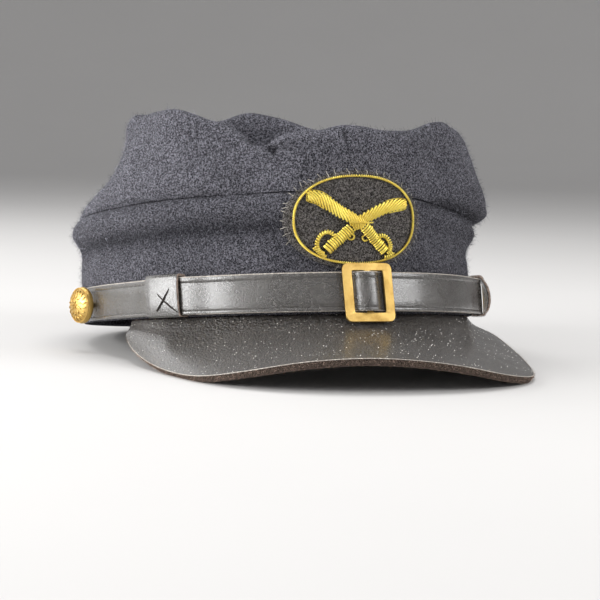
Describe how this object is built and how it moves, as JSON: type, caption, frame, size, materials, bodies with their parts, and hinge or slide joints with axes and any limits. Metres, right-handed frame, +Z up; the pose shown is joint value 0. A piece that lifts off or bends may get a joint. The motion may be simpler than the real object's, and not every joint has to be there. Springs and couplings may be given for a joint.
{
  "type": "kepi cap",
  "caption": "Soft dark blue wool kepi with a leather visor, a two-part chin strap with brass slide and side buttons, and an oval embroidered badge with crossed sabres.",
  "frame": {"origin": "middle of the cap's bounding box, on the surface it rests on", "axes": "+X toward the wearer's left, -Y to the front of the cap, +Z up"},
  "size_m": [0.1871, 0.2566, 0.1058],
  "materials": {
    "wool": "napped wool cloth",
    "badge_wool": "felted wool",
    "visor_leather": "semi-gloss",
    "strap_leather": "semi-gloss",
    "brass": "lightly brushed",
    "gold_wire": "satin bullion wire"
  },
  "bodies": {
    "root": {"band": "wool", "crown_side": "wool", "crown_top": "wool", "visor": "visor_leather", "chin_strap_under": "strap_leather", "chin_strap_over": "strap_leather", "keeper_left": "strap_leather", "keeper_right": "strap_leather", "slide_buckle": "brass", "button_left": "brass", "button_right": "brass", "badge_cloth": "badge_wool", "badge_ring": "gold_wire", "sabre_left": "gold_wire", "sabre_right": "gold_wire"}
  },
  "joints": []
}
